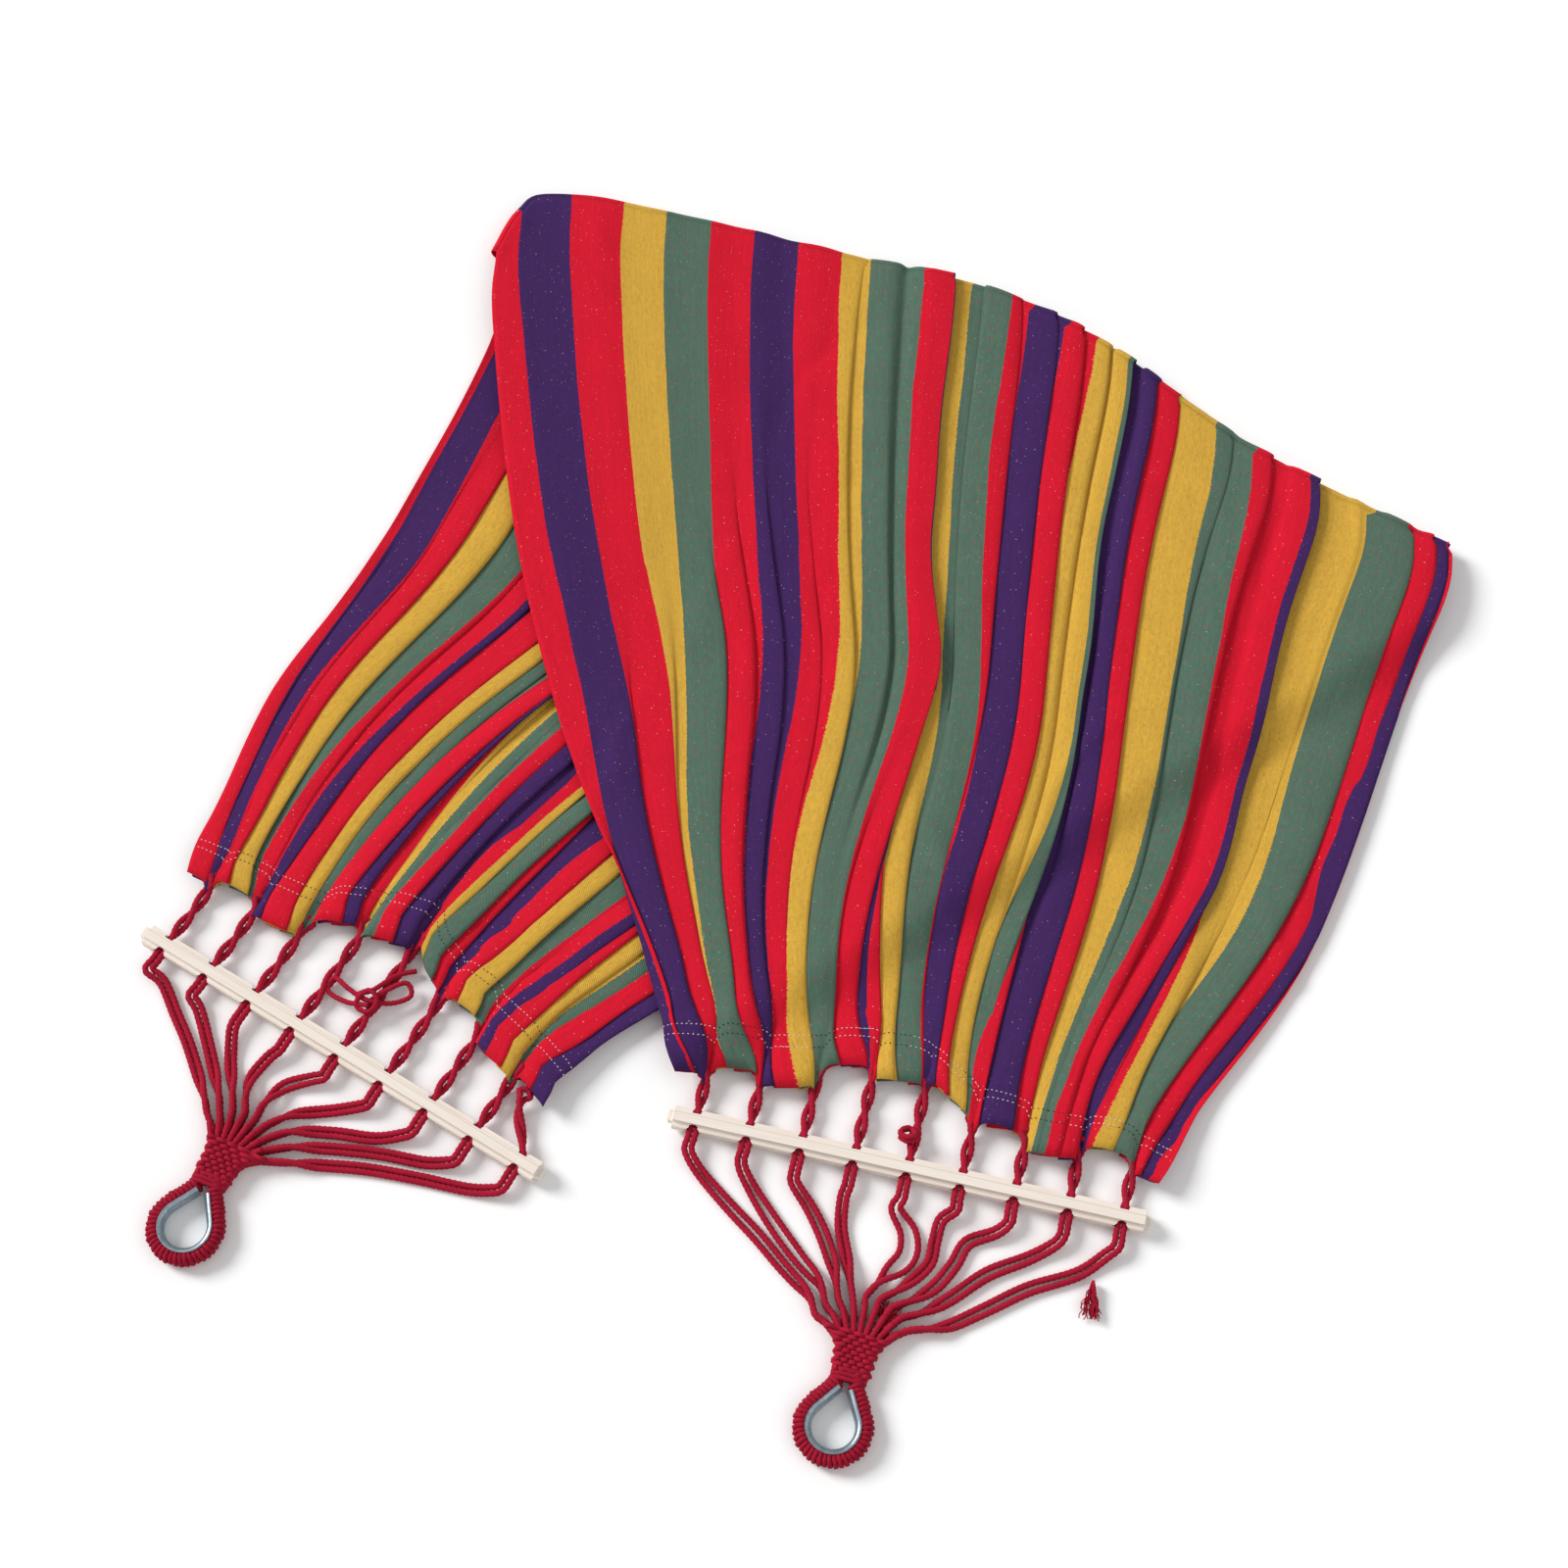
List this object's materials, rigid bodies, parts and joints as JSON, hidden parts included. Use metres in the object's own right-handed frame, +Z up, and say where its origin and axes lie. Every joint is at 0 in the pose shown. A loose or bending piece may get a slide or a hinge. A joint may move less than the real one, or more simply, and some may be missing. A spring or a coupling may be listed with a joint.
{
  "type": "rope hammock",
  "caption": "Striped cotton hammock, folded flat, with holed wooden spreader bars, doubled cords to woven necks, and rope eyes on steel thimbles.",
  "frame": {"origin": "centre of the bounding box on the ground that the folded hammock lies on", "axes": "+Z up from the ground, +Y towards the folded edge, +X to the right as seen from the eyes"},
  "size_m": [1.2737, 1.3228, 0.028],
  "materials": {
    "cloth": "striped cotton canvas",
    "hem": "turned and stitched striped canvas",
    "cord": "twisted crimson cotton cord",
    "winding": "crimson cord wound round the eye",
    "neck": "woven crimson cord",
    "bar": "pale sanded plywood",
    "thimble": "galvanised steel"
  },
  "bodies": {
    "back_half": {"back_cloth": "cloth", "back_hem": "hem"},
    "front_half": {"front_cloth": "cloth", "front_hem": "hem"},
    "front_bar": {"front_spreader_bar": "bar", "front_hem_cord_1": "cord", "front_hem_cord_2": "cord", "front_hem_cord_3": "cord", "front_hem_cord_4": "cord", "front_hem_cord_5": "cord", "front_hem_cord_6": "cord", "front_hem_cord_7": "cord", "front_hem_cord_8": "cord", "front_hem_cord_9": "cord", "front_tie_knot": "cord"},
    "front_eye": {"front_fan_cord_1": "cord", "front_fan_cord_2": "cord", "front_fan_cord_3": "cord", "front_fan_cord_4": "cord", "front_fan_cord_5": "cord", "front_fan_cord_6": "cord", "front_fan_cord_7": "cord", "front_fan_cord_8": "cord", "front_fan_cord_9": "cord", "front_neck": "neck", "front_neck_lashing": "neck", "front_eye_core": "winding", "front_eye_winding": "winding", "front_thimble": "thimble", "front_frayed_tassel": "cord"},
    "back_bar": {"back_spreader_bar": "bar", "back_hem_cord_1": "cord", "back_hem_cord_2": "cord", "back_hem_cord_3": "cord", "back_hem_cord_4": "cord", "back_hem_cord_5": "cord", "back_hem_cord_6": "cord", "back_hem_cord_7": "cord", "back_hem_cord_8": "cord", "back_hem_cord_9": "cord", "back_bow_knot": "cord"},
    "back_eye": {"back_fan_cord_1": "cord", "back_fan_cord_2": "cord", "back_fan_cord_3": "cord", "back_fan_cord_4": "cord", "back_fan_cord_5": "cord", "back_fan_cord_6": "cord", "back_fan_cord_7": "cord", "back_fan_cord_8": "cord", "back_fan_cord_9": "cord", "back_neck": "neck", "back_neck_lashing": "neck", "back_eye_core": "winding", "back_eye_winding": "winding", "back_thimble": "thimble"}
  },
  "joints": [
    {"name": "cloth_unfold", "type": "hinge", "parent": "back_half", "child": "front_half", "pos_m": [0.23282, 0.52494, 0.0139], "axis": [-0.9135, 0.4067, 0], "range_deg": [0, 170]},
    {"name": "front_bar_swing", "type": "hinge", "parent": "front_half", "child": "front_bar", "pos_m": [0.10412, -0.30768, 0.01], "axis": [-0.9744, 0.225, 0], "range_deg": [0, 90]},
    {"name": "front_eye_swing", "type": "hinge", "parent": "front_bar", "child": "front_eye", "pos_m": [0.085, -0.3905, 0.01], "axis": [-0.9744, 0.225, 0], "range_deg": [0, 90]},
    {"name": "back_bar_swing", "type": "hinge", "parent": "back_half", "child": "back_bar", "pos_m": [-0.38074, -0.18055, 0.01], "axis": [-0.8517, 0.524, 0], "range_deg": [0, 90]},
    {"name": "back_eye_swing", "type": "hinge", "parent": "back_bar", "child": "back_eye", "pos_m": [-0.441, -0.2785, 0.01], "axis": [-0.8517, 0.524, 0], "range_deg": [0, 90]}
  ]
}
